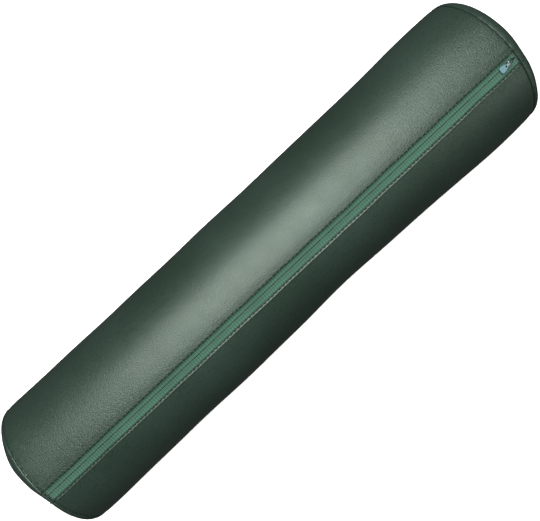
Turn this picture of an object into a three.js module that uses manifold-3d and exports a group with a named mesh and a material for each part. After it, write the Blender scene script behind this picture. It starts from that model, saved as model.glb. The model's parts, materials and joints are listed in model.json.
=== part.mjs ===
// A full-round massage bolster: a firm foam roll in a zip-on cover of artificial leather.
//
// The roll lies along X on a surface at z = 0, with +Z up and the origin under its middle.
// Its zip runs along the top, and the slider is parked, closed, at the +X end.
// Every piece is built round the roll's own axis, and one group lifts them all to axis height.
// Sections are drawn in the Y-Z plane, with angles measured from the top (+Z) towards +Y.
import * as THREE from "three";
import { mergeVertices } from "three/addons/utils/BufferGeometryUtils.js";
import Module from "manifold-3d";

const wasm = await Module();
wasm.setup();

// ---- Driving dimensions, in millimetres ----

const ROLL_RADIUS = 76;
const ROLL_LENGTH = 660;
const REST_FLAT_HALF_WIDTH = 12; // the strip that the roll lies on
const DOME_DEPTH = 22; // how far each end panel stands out from its seam
const DOME_FULLNESS = 2.2; // 2 is an ellipse, more is squarer at the corner
const GAP = 0.3; // between neighbouring pieces

const LEATHER = 1.2;
const SEAM_ALLOWANCE = 5; // turned inwards at each end seam
const SEAM_HALF_GAP = 0.6; // room for the thread between wrap and end panel
const SEAM_THREAD_RADIUS = 0.3;

const SLIT_HALF_WIDTH = 6; // between the folded edges of the two hems
const HEM_WIDTH = 9.5;
const STITCH_INSET = 0.9; // from the folded edge to the middle of the topstitch
const STITCH_GROOVE = { width: 1.0, depth: 0.7 };
const TOPSTITCH = { width: 0.4, height: 0.4 };

const TAPE_THICKNESS = 0.6;
const TAPE_WIDTH = 15;
const CHAIN_HALF_GAP = 0.6; // each tape and coil stops this far from the middle line
const COIL = { width: 1.8, height: 1.6, chamfer: 0.4, bore: 0.5 };
const FILLER_CORD_RADIUS = 0.25;

const WADDING_THICKNESS = 5;
const SLIDER_SLOT_HALF_WIDTH = 4.4; // gap in the wadding under the chain

const SLIDER = { rear: 6.4, front: 2.9, rearHalfWidth: 3.2, frontHalfWidth: 3.5, wing: 0.8 };
const SLIDER_CORNER = 0.9;
const SLIDER_FLANGE = 0.5;
const SLIDER_POST = { start: 0.2, end: 2.2, halfWidth: 0.3 };
const BRIDGE = { rear: 3.6, front: 1.9, halfWidth: 0.6, bar: 0.8 };
const PULL = { length: 12.6, thickness: 0.8, neckHalfWidth: 1.8, gripHalfWidth: 3.4 };
const PULL_WINDOW = { reach: 4.4, halfWidth: 0.95 };
const PULL_ARM_END = 0.6; // past the middle of the pin
const PULL_CLEARANCE = 0.5; // between the pull and the upper wing
const PULL_WIDENING = 2 / 3; // where along the grip its sides reach their full width
const PULL_PIN_RADIUS = 0.4;
const SLIDER_PARK_INSET = 32.7; // from the end of the roll to the pull's pin

const ROUND_STEPS = 48; // facets in a full turn
const DOME_STEPS = 7;
const CURVE_STEPS = 8;
const PIN_SIDES = 12;

// ---- Dimensions that follow from them ----

const AXIS_HEIGHT = Math.sqrt(ROLL_RADIUS ** 2 - REST_FLAT_HALF_WIDTH ** 2);
const SEAM_X = ROLL_LENGTH / 2 - DOME_DEPTH;
const COVER_END_X = SEAM_X - SEAM_HALF_GAP;
const PANEL_START_X = SEAM_X + SEAM_HALF_GAP;
const COVER_INNER_RADIUS = ROLL_RADIUS - LEATHER;
const SEAM_RADIUS = AXIS_HEIGHT - 0.05; // the panels and seams clear the surface below
const FLANGE_RADIUS = SEAM_RADIUS - SEAM_ALLOWANCE;

const HEM_UNDERSIDE = ROLL_RADIUS - 2 * LEATHER;
const TAPE_TOP = HEM_UNDERSIDE - GAP;
const TAPE_UNDERSIDE = TAPE_TOP - TAPE_THICKNESS;
const COIL_TOP = TAPE_UNDERSIDE - 2 * GAP;
const COIL_UNDERSIDE = COIL_TOP - COIL.height;
const LOWER_WING_TOP = COIL_UNDERSIDE - GAP;
const LOWER_WING_UNDERSIDE = LOWER_WING_TOP - SLIDER.wing;
const UPPER_WING_UNDERSIDE = TAPE_TOP + GAP;
const UPPER_WING_TOP = UPPER_WING_UNDERSIDE + SLIDER.wing;
const PIN_HEIGHT = UPPER_WING_TOP + PULL_CLEARANCE + PULL.thickness / 2;
const BRIDGE_UNDERSIDE = PIN_HEIGHT + PULL_PIN_RADIUS + GAP;

const CORE_RADIUS = LOWER_WING_UNDERSIDE - 2 * GAP;
const WADDING_INNER_RADIUS = CORE_RADIUS + GAP;
const WADDING_OUTER_RADIUS = WADDING_INNER_RADIUS + WADDING_THICKNESS;
const SLIDER_X = ROLL_LENGTH / 2 - SLIDER_PARK_INSET;

// ---- Geometry helpers ----

// The angle from the top at which a circle of this radius is `halfWidth` off the middle plane.
function angleAt(halfWidth, radius) {
  return Math.asin(halfWidth / radius);
}

// Points on a circle round the roll's axis, from one angle to another, both included.
function arc(radius, fromAngle, toAngle) {
  const turn = Math.abs(toAngle - fromAngle);
  const steps = Math.max(1, Math.round((turn / (2 * Math.PI)) * ROUND_STEPS));
  const points = [];
  for (let i = 0; i <= steps; i += 1) {
    const angle = fromAngle + ((toAngle - fromAngle) * i) / steps;
    points.push(new THREE.Vector2(radius * Math.sin(angle), radius * Math.cos(angle)));
  }
  return points;
}

// A nearly full circle that starts and ends beside the slit on top, with a flat at the bottom.
function slitCircle(radius, slitHalfWidth, flatHeight) {
  const slit = angleAt(slitHalfWidth, radius);
  const flat = Math.acos(Math.min(1, flatHeight / radius));
  const right = arc(radius, slit, Math.PI - flat);
  const left = arc(radius, Math.PI + flat, 2 * Math.PI - slit);
  return flat > 0 ? [...right, ...left] : [...right, ...left.slice(1)];
}

// The same outline seen in the mirror plane Y = 0.
function mirrored(points) {
  return points.map((point) => new THREE.Vector2(-point.x, point.y)).reverse();
}

// A Y-Z section carried along X.
function prism(section, startX, endX) {
  const shape = section instanceof THREE.Shape ? section : new THREE.Shape(section);
  const geometry = new THREE.ExtrudeGeometry(shape, {
    depth: endX - startX,
    bevelEnabled: false,
    curveSegments: CURVE_STEPS,
  });
  const toSection = new THREE.Matrix4().makeBasis(
    new THREE.Vector3(0, 1, 0),
    new THREE.Vector3(0, 0, 1),
    new THREE.Vector3(1, 0, 0),
  );
  return geometry.applyMatrix4(toSection).translate(startX, 0, 0);
}

// A flat plate drawn in X-Y, between two heights.
function plate(outline, underside, top) {
  const shape = outline instanceof THREE.Shape ? outline : new THREE.Shape(outline);
  const geometry = new THREE.ExtrudeGeometry(shape, {
    depth: top - underside,
    bevelEnabled: false,
    curveSegments: CURVE_STEPS,
  });
  return geometry.translate(0, 0, underside);
}

function block(low, high) {
  const size = high.map((value, i) => value - low[i]);
  const middle = high.map((value, i) => (value + low[i]) / 2);
  return new THREE.BoxGeometry(...size).translate(...middle);
}

// A profile of [x, radius] pairs turned round the roll's axis.
function turned(profile) {
  const points = profile.map(([x, radius]) => new THREE.Vector2(radius, x));
  const geometry = new THREE.LatheGeometry(points, ROUND_STEPS);
  const axisToX = new THREE.Matrix4().makeBasis(
    new THREE.Vector3(0, 1, 0),
    new THREE.Vector3(1, 0, 0),
    new THREE.Vector3(0, 0, -1),
  );
  return geometry.applyMatrix4(axisToX);
}

function toSolid(geometry) {
  const bare = geometry.clone();
  bare.deleteAttribute("normal");
  bare.deleteAttribute("uv");
  const merged = mergeVertices(bare, 1e-4);
  const vertProperties = new Float32Array(merged.attributes.position.array);
  const triVerts = new Uint32Array(merged.index.array);
  return new wasm.Manifold(new wasm.Mesh({ numProp: 3, vertProperties, triVerts }));
}

function toGeometry(solid) {
  const mesh = solid.getMesh();
  const geometry = new THREE.BufferGeometry();
  geometry.setAttribute("position", new THREE.BufferAttribute(mesh.vertProperties, 3));
  geometry.setIndex(new THREE.BufferAttribute(mesh.triVerts, 1));
  geometry.computeVertexNormals();
  return geometry;
}

function joined(...geometries) {
  return toGeometry(geometries.map(toSolid).reduce((whole, part) => whole.add(part)));
}

// ---- Foam, wadding and cover ----

// Quarter outline of a domed end, from the seam's radius in to the axis.
function dome(startX, depth, radius) {
  const points = [];
  for (let i = 0; i <= DOME_STEPS; i += 1) {
    const angle = (Math.PI / 2) * (i / DOME_STEPS);
    const out = Math.sin(angle) ** (2 / DOME_FULLNESS);
    const across = Math.cos(angle) ** (2 / DOME_FULLNESS);
    points.push([startX + depth * out, i === DOME_STEPS ? 0 : radius * across]);
  }
  return points;
}

function foamCore() {
  const depth = DOME_DEPTH - LEATHER - 2 * GAP - SEAM_HALF_GAP;
  const right = dome(SEAM_X, depth, CORE_RADIUS);
  const left = right.map(([x, radius]) => [-x, radius]).reverse();
  return turned([...left, ...right]);
}

// The wadding is thinner under the zip tapes, and its edges stop short of the chain.
function coreWrap() {
  const flatHeight = AXIS_HEIGHT - LEATHER - GAP;
  const underTape = TAPE_UNDERSIDE - GAP;
  const tapeEdge = angleAt(TAPE_WIDTH + CHAIN_HALF_GAP + GAP, TAPE_UNDERSIDE);
  const slotEdge = angleAt(SLIDER_SLOT_HALF_WIDTH, underTape);
  const stepHalfWidth = WADDING_OUTER_RADIUS * Math.sin(tapeEdge);
  const section = [
    ...arc(underTape, slotEdge, tapeEdge),
    ...slitCircle(WADDING_OUTER_RADIUS, stepHalfWidth, flatHeight),
    ...arc(underTape, -tapeEdge, -slotEdge),
    ...slitCircle(WADDING_INNER_RADIUS, SLIDER_SLOT_HALF_WIDTH, flatHeight).reverse(),
  ];
  const endX = COVER_END_X - LEATHER - 2 * GAP;
  return prism(section, -endX, endX);
}

// One long edge of the wrap: the hem folded under, the folded edge, and the stitch groove.
function hemOutline() {
  const grooveStart = SLIT_HALF_WIDTH + STITCH_INSET - STITCH_GROOVE.width / 2;
  const grooveEnd = grooveStart + STITCH_GROOVE.width;
  const grooveFloor = ROLL_RADIUS - STITCH_GROOVE.depth;
  const hemAngle = angleAt(SLIT_HALF_WIDTH + HEM_WIDTH, HEM_UNDERSIDE);
  return [
    ...arc(HEM_UNDERSIDE, hemAngle, angleAt(SLIT_HALF_WIDTH, HEM_UNDERSIDE)),
    ...arc(ROLL_RADIUS, angleAt(SLIT_HALF_WIDTH, ROLL_RADIUS), angleAt(grooveStart, ROLL_RADIUS)),
    ...arc(grooveFloor, angleAt(grooveStart, grooveFloor), angleAt(grooveEnd, grooveFloor)),
  ];
}

function coverPanel() {
  const grooveEnd = SLIT_HALF_WIDTH + STITCH_INSET + STITCH_GROOVE.width / 2;
  const hemEdge = COVER_INNER_RADIUS * Math.sin(angleAt(SLIT_HALF_WIDTH + HEM_WIDTH, HEM_UNDERSIDE));
  const innerFlat = AXIS_HEIGHT - LEATHER;
  const hem = hemOutline();
  const sheetSection = [
    ...hem,
    ...slitCircle(ROLL_RADIUS, grooveEnd, AXIS_HEIGHT),
    ...mirrored(hem),
    ...slitCircle(COVER_INNER_RADIUS, hemEdge, innerFlat).reverse(),
  ];
  const flangeHalfWidth = TAPE_WIDTH + CHAIN_HALF_GAP + 2 * GAP;
  const flangeSection = [
    ...slitCircle(SEAM_RADIUS, flangeHalfWidth, AXIS_HEIGHT),
    ...slitCircle(FLANGE_RADIUS, flangeHalfWidth, AXIS_HEIGHT).reverse(),
  ];
  return joined(
    prism(sheetSection, -COVER_END_X, COVER_END_X),
    prism(flangeSection, -COVER_END_X, -COVER_END_X + LEATHER),
    prism(flangeSection, COVER_END_X - LEATHER, COVER_END_X),
  );
}

// A domed disc with its seam allowance turned inwards, at the +X end.
function endPanel() {
  const outer = dome(PANEL_START_X, DOME_DEPTH - SEAM_HALF_GAP, SEAM_RADIUS);
  const innerDepth = DOME_DEPTH - SEAM_HALF_GAP - LEATHER;
  const inner = dome(PANEL_START_X, innerDepth, SEAM_RADIUS - LEATHER).slice(1);
  return turned([
    ...inner.reverse(),
    [PANEL_START_X + LEATHER, SEAM_RADIUS - LEATHER],
    [PANEL_START_X + LEATHER, FLANGE_RADIUS],
    [PANEL_START_X, FLANGE_RADIUS],
    ...outer,
  ]);
}

// A ring of thread that lies in the end seam.
function seamThread() {
  const sides = 6;
  const middle = SEAM_RADIUS - SEAM_THREAD_RADIUS;
  const profile = [];
  for (let i = 0; i <= sides; i += 1) {
    const angle = (2 * Math.PI * (i % sides)) / sides;
    const x = SEAM_X + SEAM_THREAD_RADIUS * Math.cos(angle);
    profile.push([x, middle + SEAM_THREAD_RADIUS * Math.sin(angle)]);
  }
  return turned(profile.reverse());
}

// ---- Zip ----

// The strip of thread that lies in the groove of the hem on the +Y side.
function topstitch() {
  const middle = SLIT_HALF_WIDTH + STITCH_INSET;
  const underside = ROLL_RADIUS - STITCH_GROOVE.depth;
  const height = Math.sqrt(underside ** 2 - middle ** 2) + GAP;
  const low = [-COVER_END_X, middle - TOPSTITCH.width / 2, height];
  const high = [COVER_END_X, middle + TOPSTITCH.width / 2, height + TOPSTITCH.height];
  return block(low, high);
}

// The woven tape on the +Y side, curved with the roll.
function zipTape() {
  const inner = CHAIN_HALF_GAP;
  const outer = CHAIN_HALF_GAP + TAPE_WIDTH;
  const section = [
    ...arc(TAPE_TOP, angleAt(inner, TAPE_TOP), angleAt(outer, TAPE_TOP)),
    ...arc(TAPE_UNDERSIDE, angleAt(outer, TAPE_UNDERSIDE), angleAt(inner, TAPE_UNDERSIDE)),
  ];
  return prism(section, -COVER_END_X, COVER_END_X);
}

// The envelope of the coil on the +Y side, open along its middle for the filler cord.
function zipCoil() {
  const near = CHAIN_HALF_GAP;
  const far = near + COIL.width;
  const shape = new THREE.Shape();
  shape.moveTo(near + COIL.chamfer, COIL_UNDERSIDE);
  shape.lineTo(far - COIL.chamfer, COIL_UNDERSIDE);
  shape.lineTo(far, COIL_UNDERSIDE + COIL.chamfer);
  shape.lineTo(far, COIL_TOP - COIL.chamfer);
  shape.lineTo(far - COIL.chamfer, COIL_TOP);
  shape.lineTo(near + COIL.chamfer, COIL_TOP);
  shape.lineTo(near, COIL_TOP - COIL.chamfer);
  shape.lineTo(near, COIL_UNDERSIDE + COIL.chamfer);
  shape.closePath();
  const bore = new THREE.Path();
  bore.absarc(near + COIL.width / 2, COIL_TOP - COIL.height / 2, COIL.bore, 0, 2 * Math.PI, true);
  shape.holes.push(bore);
  return prism(shape, -COVER_END_X, COVER_END_X);
}

function fillerCord() {
  const shape = new THREE.Shape();
  const middleY = CHAIN_HALF_GAP + COIL.width / 2;
  shape.absarc(middleY, COIL_TOP - COIL.height / 2, FILLER_CORD_RADIUS, 0, 2 * Math.PI, false);
  return prism(shape, -COVER_END_X, COVER_END_X);
}

// Plan of a slider wing: straight at the rear, wider at the front, with rounded corners.
function wingOutline() {
  const { rear, front, rearHalfWidth, frontHalfWidth } = SLIDER;
  const corner = SLIDER_CORNER;
  const shoulder = (front - rear) / 2;
  const flare = (front + shoulder) / 2;
  const shape = new THREE.Shape();
  shape.moveTo(-rear + corner, -rearHalfWidth);
  shape.lineTo(shoulder, -rearHalfWidth);
  shape.quadraticCurveTo(flare, -frontHalfWidth, front - corner, -frontHalfWidth);
  shape.quadraticCurveTo(front, -frontHalfWidth, front, -frontHalfWidth + corner);
  shape.lineTo(front, frontHalfWidth - corner);
  shape.quadraticCurveTo(front, frontHalfWidth, front - corner, frontHalfWidth);
  shape.quadraticCurveTo(flare, frontHalfWidth, shoulder, rearHalfWidth);
  shape.lineTo(-rear + corner, rearHalfWidth);
  shape.quadraticCurveTo(-rear, rearHalfWidth, -rear, rearHalfWidth - corner);
  shape.lineTo(-rear, -rearHalfWidth + corner);
  shape.quadraticCurveTo(-rear, -rearHalfWidth, -rear + corner, -rearHalfWidth);
  return shape;
}

// The arch over the upper wing, as an X-Z outline given thickness in Y.
function bridge() {
  const { rear, front, halfWidth, bar } = BRIDGE;
  const foot = UPPER_WING_TOP - SLIDER.wing / 2;
  const outline = [
    [-rear, foot],
    [-rear, BRIDGE_UNDERSIDE + bar / 2],
    [-rear + bar / 2, BRIDGE_UNDERSIDE + bar],
    [front - bar / 2, BRIDGE_UNDERSIDE + bar],
    [front, BRIDGE_UNDERSIDE + bar / 2],
    [front, foot],
    [front - bar, foot],
    [front - bar, BRIDGE_UNDERSIDE],
    [-rear + bar, BRIDGE_UNDERSIDE],
    [-rear + bar, foot],
  ];
  const upright = plate(outline.map(([x, z]) => new THREE.Vector2(x, z)), -halfWidth, halfWidth);
  return upright.rotateX(Math.PI / 2);
}

// Wings, side flanges, post and bridge, about the pull's pin.
function sliderBody() {
  const wing = wingOutline();
  const flangeTop = COIL_TOP + GAP / 2;
  const flangeOuter = SLIDER.rearHalfWidth;
  const flangeInner = flangeOuter - SLIDER_FLANGE;
  const flangeLow = LOWER_WING_TOP - SLIDER.wing / 2;
  const postLow = LOWER_WING_TOP - SLIDER.wing / 2;
  const postTop = UPPER_WING_UNDERSIDE + SLIDER.wing / 2;
  const flangeStart = SLIDER_CORNER - SLIDER.rear;
  const flangeEnd = SLIDER.front - SLIDER_CORNER;
  return joined(
    plate(wing, LOWER_WING_UNDERSIDE, LOWER_WING_TOP),
    plate(wing, UPPER_WING_UNDERSIDE, UPPER_WING_TOP),
    block([flangeStart, flangeInner, flangeLow], [flangeEnd, flangeOuter, flangeTop]),
    block([flangeStart, -flangeOuter, flangeLow], [flangeEnd, -flangeInner, flangeTop]),
    block(
      [SLIDER_POST.start, -SLIDER_POST.halfWidth, postLow],
      [SLIDER_POST.end, SLIDER_POST.halfWidth, postTop],
    ),
    bridge(),
  );
}

// The pull lies flat towards -X: a narrow neck with a window for the bridge, and a round grip.
function pullTab() {
  const { length, thickness, neckHalfWidth, gripHalfWidth } = PULL;
  const grip = -length + gripHalfWidth;
  const shape = new THREE.Shape();
  shape.moveTo(PULL_ARM_END, PULL_WINDOW.halfWidth);
  shape.lineTo(PULL_ARM_END, neckHalfWidth);
  shape.lineTo(-PULL_WINDOW.reach, neckHalfWidth);
  shape.quadraticCurveTo(grip * PULL_WIDENING, gripHalfWidth, grip, gripHalfWidth);
  shape.absarc(grip, 0, gripHalfWidth, Math.PI / 2, 1.5 * Math.PI, false);
  shape.quadraticCurveTo(grip * PULL_WIDENING, -gripHalfWidth, -PULL_WINDOW.reach, -neckHalfWidth);
  shape.lineTo(PULL_ARM_END, -neckHalfWidth);
  shape.lineTo(PULL_ARM_END, -PULL_WINDOW.halfWidth);
  shape.lineTo(-PULL_WINDOW.reach, -PULL_WINDOW.halfWidth);
  shape.lineTo(-PULL_WINDOW.reach, PULL_WINDOW.halfWidth);
  shape.closePath();
  const tab = plate(shape, PIN_HEIGHT - thickness / 2, PIN_HEIGHT + thickness / 2);
  const pinLength = 2 * neckHalfWidth - GAP;
  const pin = new THREE.CylinderGeometry(PULL_PIN_RADIUS, PULL_PIN_RADIUS, pinLength, PIN_SIDES);
  return joined(tab, pin.translate(0, 0, PIN_HEIGHT));
}

// ---- Assembly ----

const FINISHES = {
  leather: { color: 0x26352e, roughness: 0.45, metalness: 0 },
  tape: { color: 0x47725e, roughness: 0.85, metalness: 0 },
  coil: { color: 0x2f5945, roughness: 0.5, metalness: 0 },
  cord: { color: 0x3f6a55, roughness: 0.9, metalness: 0 },
  thread: { color: 0x14231c, roughness: 0.7, metalness: 0 },
  metal: { color: 0xb9c3c6, roughness: 0.3, metalness: 1 },
  pull: { color: 0x9cc6ce, roughness: 0.35, metalness: 0.4 },
  foam: { color: 0x43474a, roughness: 0.95, metalness: 0 },
  wadding: { color: 0xeeeeea, roughness: 0.95, metalness: 0 },
};

function piece(name, geometry, finish) {
  const mesh = new THREE.Mesh(geometry, new THREE.MeshStandardMaterial(FINISHES[finish]));
  mesh.name = name;
  return mesh;
}

const roll = new THREE.Group();
roll.position.z = AXIS_HEIGHT;

roll.add(piece("foam_core", foamCore(), "foam"));
roll.add(piece("core_wrap", coreWrap(), "wadding"));
roll.add(piece("cover_panel", coverPanel(), "leather"));

// The +X end and the back (+Y) side are built as drawn; half a turn about Z gives the others.
for (const [end, turn] of [["right", 0], ["left", Math.PI]]) {
  const ends = [
    piece(`end_panel_${end}`, endPanel(), "leather"),
    piece(`seam_thread_${end}`, seamThread(), "thread"),
  ];
  for (const mesh of ends) {
    mesh.rotation.z = turn;
    roll.add(mesh);
  }
}

for (const [side, turn] of [["back", 0], ["front", Math.PI]]) {
  const halves = [
    piece(`zip_tape_${side}`, zipTape(), "tape"),
    piece(`zip_coil_${side}`, zipCoil(), "coil"),
    piece(`zip_cord_${side}`, fillerCord(), "cord"),
    piece(`topstitch_${side}`, topstitch(), "thread"),
  ];
  for (const mesh of halves) {
    mesh.rotation.z = turn;
    roll.add(mesh);
  }
}

const slider = new THREE.Group();
slider.position.x = SLIDER_X;
slider.add(piece("slider_body", sliderBody(), "metal"));
slider.add(piece("pull_tab", pullTab(), "pull"));
roll.add(slider);

const bolster = new THREE.Group();
bolster.add(roll);

export default bolster;
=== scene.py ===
# Looks of the bolster pillow: leather wrap, domed ends, zip, stitches and slider, made round
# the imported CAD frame. Everything is in metres, with the roll along X and its zip on top.
import json
import math

import bpy
import numpy as np
from mathutils import Matrix, Vector


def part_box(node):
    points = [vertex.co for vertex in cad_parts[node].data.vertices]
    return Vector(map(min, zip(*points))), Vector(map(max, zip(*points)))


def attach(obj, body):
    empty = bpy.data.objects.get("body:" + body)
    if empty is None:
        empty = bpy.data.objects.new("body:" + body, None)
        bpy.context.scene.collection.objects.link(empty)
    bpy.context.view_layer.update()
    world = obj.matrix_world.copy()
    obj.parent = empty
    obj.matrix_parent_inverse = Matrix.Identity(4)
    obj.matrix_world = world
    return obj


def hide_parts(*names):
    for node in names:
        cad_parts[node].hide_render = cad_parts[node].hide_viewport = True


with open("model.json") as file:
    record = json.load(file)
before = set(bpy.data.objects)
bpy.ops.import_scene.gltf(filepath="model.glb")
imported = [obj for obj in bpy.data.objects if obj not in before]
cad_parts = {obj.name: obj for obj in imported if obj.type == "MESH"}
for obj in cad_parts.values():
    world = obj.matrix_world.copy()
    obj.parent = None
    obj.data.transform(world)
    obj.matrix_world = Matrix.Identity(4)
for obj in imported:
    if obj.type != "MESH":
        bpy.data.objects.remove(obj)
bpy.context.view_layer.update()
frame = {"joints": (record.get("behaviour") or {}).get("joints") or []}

MM = 0.001
SEED = 11

# ---- Sizes and places, from the frame ----

cover_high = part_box("cover_panel")[1]
core_low, core_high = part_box("foam_core")
wrap_low, wrap_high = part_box("core_wrap")
panel_low, panel_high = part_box("end_panel_right")
tape_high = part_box("zip_tape_back")[1]
coil_low, coil_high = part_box("zip_coil_back")
cord_low, cord_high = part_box("zip_cord_back")
slider_low, slider_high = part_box("slider_body")
pull_low, pull_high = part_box("pull_tab")
joints = {joint["name"]: joint for joint in frame["joints"]}

AXIS_HEIGHT = (core_low.z + core_high.z) / 2
ROLL_RADIUS = cover_high.y
SEAM_X = (cover_high.x + panel_low.x) / 2
SEAM_RADIUS = panel_high.y
TAPE_TOP = tape_high.z - AXIS_HEIGHT
PIN = Vector(joints["pull_hinge"]["pos_m"])

# ---- Driving dimensions of the looks ----

LEATHER = 1.1 * MM
SIDE_RADIUS = 75.0 * MM  # half the roll's width at mid length
CROWN = 0.8 * MM  # how much higher than that the zip side stands
SWELLS = (  # where the roll is fatter or thinner, and by how much on its back and front sides
    {"x": 272 * MM, "spread": 52 * MM, "back": 2.6 * MM, "front": 4.4 * MM},
    {"x": -290 * MM, "spread": 34 * MM, "back": 1.3 * MM, "front": 1.8 * MM},
    {"x": 52 * MM, "spread": 48 * MM, "back": 0.0, "front": -3.6 * MM},
)

HEM_EDGE = 6.0 * MM  # from the zip's middle line to the folded edge
HEM_WIDTH = 9.0 * MM
FOLD = 0.5 * MM  # width over which the folded edge rounds over
STITCH_LINE = 1.1 * MM  # from the folded edge
STITCH_PITCH = 4.9 * MM
STITCH_LENGTH = 3.0 * MM
STITCH_RADIUS = 0.54 * MM
TACK_LENGTH = 6.5 * MM  # the last stitch of each row, which crosses the end seam
SEAM_STITCHES = 94  # round each end seam

SEAM_HALF_GAP = 0.25 * MM
SHOULDER_LENGTH = 1.7 * MM
SHOULDER_DROP = 3.6 * MM
SEAM_DIP = 0.7 * MM
SIDES = {"front": -1, "back": 1}  # of the zip
DOME_DEPTH = 22 * MM
ENDS = {  # each dome's fullness on its back and front sides, how far its front side is pulled in,
    # and how round its rim is beside the seam
    "left": {"sign": -1, "back": 1.95, "front": 2.8, "pulled": 4.0 * MM, "rim": 1.4 * MM},
    "right": {"sign": 1, "back": 2.5, "front": 2.8, "pulled": 2.6 * MM, "rim": 0.5 * MM},
}
RIM_END = 10  # the last step of an end panel's rim, before its dome begins
DENTS = {  # where round each dome, in degrees from the top, its shoulder lies further in or out
    "left": (
        {"at": -2, "spread": 9, "in": 2.2 * MM},
        {"at": -18, "spread": 20, "in": 2.6 * MM},
        {"at": 38, "spread": 11, "in": -2.1 * MM},
        {"at": 90, "spread": 15, "in": 2.0 * MM},
    ),
    "right": (
        {"at": 0, "spread": 9, "in": 1.3 * MM},
        {"at": -36, "spread": 12, "in": 1.5 * MM},
    ),
}

COVER_END_X = SEAM_X - SEAM_HALF_GAP

TAPE_GAP = 0.38 * MM  # half the gap between the two tapes
TAPE_THICKNESS = 0.5 * MM
COIL_PITCH = 1.2 * MM
COIL_WIRE = 0.3 * MM
CHAIN_END_X = COVER_END_X - 4.5 * MM  # the coils and their cords stop short of the seams


# ---- Small tools ----

def bell(value, middle, spread):
    return np.exp(-(((value - middle) / spread) ** 2) / 2)


def ramp(value, start, end):
    """0 before start, 1 after end, and smooth between."""
    share = np.clip((value - start) / (end - start), 0, 1)
    return share * share * (3 - 2 * share)


def waves(value, length_range, count, seed):
    """A smooth wandering line of about unit height, from sines of random length and phase."""
    chance = np.random.default_rng(seed)
    total = np.zeros_like(value, dtype=float)
    for length in chance.uniform(*length_range, count):
        total = total + np.sin(2 * math.pi * (value / length + chance.random()))
    return total / math.sqrt(count)


def round_angles(count):
    """Angles evenly spaced round a circle, as one row."""
    return np.linspace(0, 2 * math.pi, count, endpoint=False)[None, :]


def on_roll(x, angle, radius):
    """Points round the roll's axis; the angle is from the top towards +Y."""
    y = radius * np.sin(angle)
    z = AXIS_HEIGHT + radius * np.cos(angle)
    return np.stack(np.broadcast_arrays(x, y, z), axis=-1)


def resting(points, give=0.25 * MM):
    """The points pressed flat where they would pass through the surface that the roll lies on."""
    z = points[..., 2]
    points[..., 2] = (z + np.sqrt(z * z + give * give)) / 2
    return points


def grid_faces(rows, columns, ring=False, flip=False):
    """Quads over a grid of points numbered row by row; ring joins the last column to the first."""
    row = np.arange(rows - 1)[:, None]
    column = np.arange(columns if ring else columns - 1)[None, :]
    after = (column + 1) % columns
    corners = [row * columns + column, (row + 1) * columns + column]
    corners += [(row + 1) * columns + after, row * columns + after]
    faces = np.stack(np.broadcast_arrays(*corners), axis=-1).reshape(-1, 4)
    return faces[:, ::-1] if flip else faces


def linked(name, data):
    """A new object of the scene with this data."""
    made = bpy.data.objects.new(name, data)
    bpy.context.scene.collection.objects.link(made)
    return made


def make_object(name, points, faces, material, smooth=True):
    mesh = bpy.data.meshes.new(name)
    mesh.from_pydata(np.asarray(points).reshape(-1, 3).tolist(), [], faces)
    mesh.validate()
    mesh.update()
    if smooth:
        mesh.shade_smooth()
    mesh.materials.append(material)
    return linked(name, mesh)


def sheet_solid(name, outer, inner, material, flip=False):
    """A closed solid between two grids of points with the same rows and columns."""
    rows, columns = outer.shape[:2]
    faces = grid_faces(rows, columns, flip=flip)
    under = grid_faces(rows, columns, flip=not flip) + rows * columns
    number = np.arange(rows * columns).reshape(rows, columns)
    rim = np.concatenate([number[0, :-1], number[:-1, -1], number[-1, :0:-1], number[:0:-1, 0]])
    after = np.roll(rim, -1)
    sides = np.stack([rim, after, after + rows * columns, rim + rows * columns], axis=-1)
    if flip:
        sides = sides[:, ::-1]
    points = np.concatenate([outer.reshape(-1, 3), inner.reshape(-1, 3)])
    faces = np.concatenate([faces, under, sides])
    return make_object(name, points, faces.tolist(), material)


def tubes(name, paths, ups, radius, sides, material, lobes=0, twist=0.0):
    """Closed round tubes along many paths of equal length, as one mesh. lobes and twist turn a
    tube into laid thread."""
    paths = np.asarray(paths, float)
    count, steps = paths.shape[:2]
    along = np.gradient(paths, axis=1)
    along /= np.linalg.norm(along, axis=2, keepdims=True)
    across = np.cross(along, np.broadcast_to(ups, paths.shape))
    across /= np.linalg.norm(across, axis=2, keepdims=True)
    above = np.cross(across, along)
    turn = np.linspace(0, 2 * math.pi, sides, endpoint=False)[None, None, :, None]
    travel = np.linspace(0, 1, steps)[None, :, None, None]
    size = radius * (1 + 0.16 * np.cos(lobes * turn - twist * travel)) if lobes else radius
    rings = paths[:, :, None] + size * (
        np.cos(turn) * across[:, :, None] + np.sin(turn) * above[:, :, None]
    )
    walls = grid_faces(steps, sides, ring=True)
    ends = [list(range(sides)), list(range((steps - 1) * sides, steps * sides))[::-1]]
    faces = []
    for number in range(count):
        start = number * steps * sides
        faces += (walls + start).tolist()
        faces += [[corner + start for corner in end] for end in ends]
    return make_object(name, rings, faces, material)


def curve_weights(count, at):
    """Catmull-Rom weights that read `count` evenly spaced values at places from 0 to 1."""
    place = np.clip(at, 0, 1) * (count - 1)
    first = np.minimum(place.astype(int), count - 2)
    t = place - first
    shares = (
        (-(t**3) + 2 * t**2 - t) / 2,
        (3 * t**3 - 5 * t**2 + 2) / 2,
        (-3 * t**3 + 4 * t**2 + t) / 2,
        (t**3 - t**2) / 2,
    )
    weights = np.zeros((len(at), count))
    for offset, share in zip((-1, 0, 1, 2), shares):
        index = np.clip(first + offset, 0, count - 1)
        np.add.at(weights, (np.arange(len(at)), index), share)
    return weights


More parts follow.
